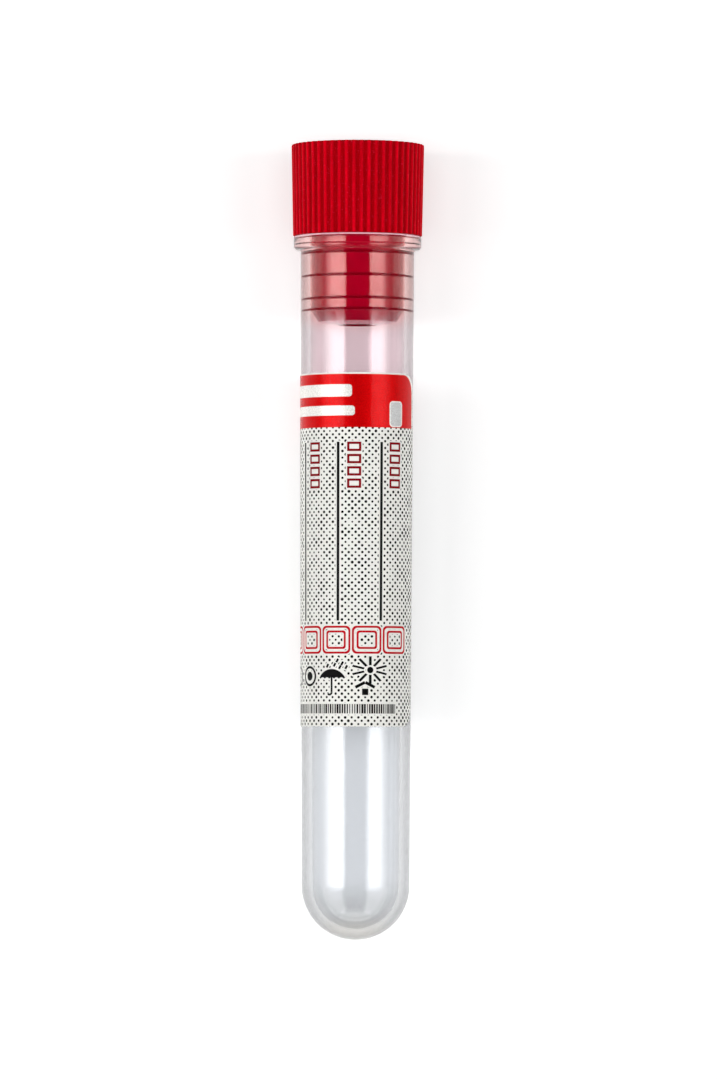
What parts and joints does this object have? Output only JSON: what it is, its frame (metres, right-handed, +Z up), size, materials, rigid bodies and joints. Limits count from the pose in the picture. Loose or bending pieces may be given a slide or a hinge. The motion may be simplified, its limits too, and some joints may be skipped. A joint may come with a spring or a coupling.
{
  "type": "blood collection tube",
  "caption": "Clear round-ended tube with a flanged mouth, a ribbed pull-off stopper whose plug seals with thin rings, and a wrapped label; it lies on its side.",
  "frame": {"origin": "middle of the base rectangle of the lying tube, on the surface that it rests on", "axes": "+Y along the tube towards the stopper, +Z up, away from the surface, with the front of the label up"},
  "size_m": [0.0142, 0.085, 0.0142],
  "materials": {
    "clear_plastic": "clear, smooth, moulded",
    "red_plastic": "moulded, softly satin",
    "label_paper": "coated paper with a printed red head and dot screen"
  },
  "bodies": {
    "tube": {"tube": "clear_plastic", "label": "label_paper"},
    "stopper": {"stopper": "red_plastic"}
  },
  "joints": [
    {"name": "stopper_pull", "type": "slide", "parent": "tube", "child": "stopper", "axis": [0, 0.9999, 0.0169], "range_m": [0, 0.012]}
  ]
}
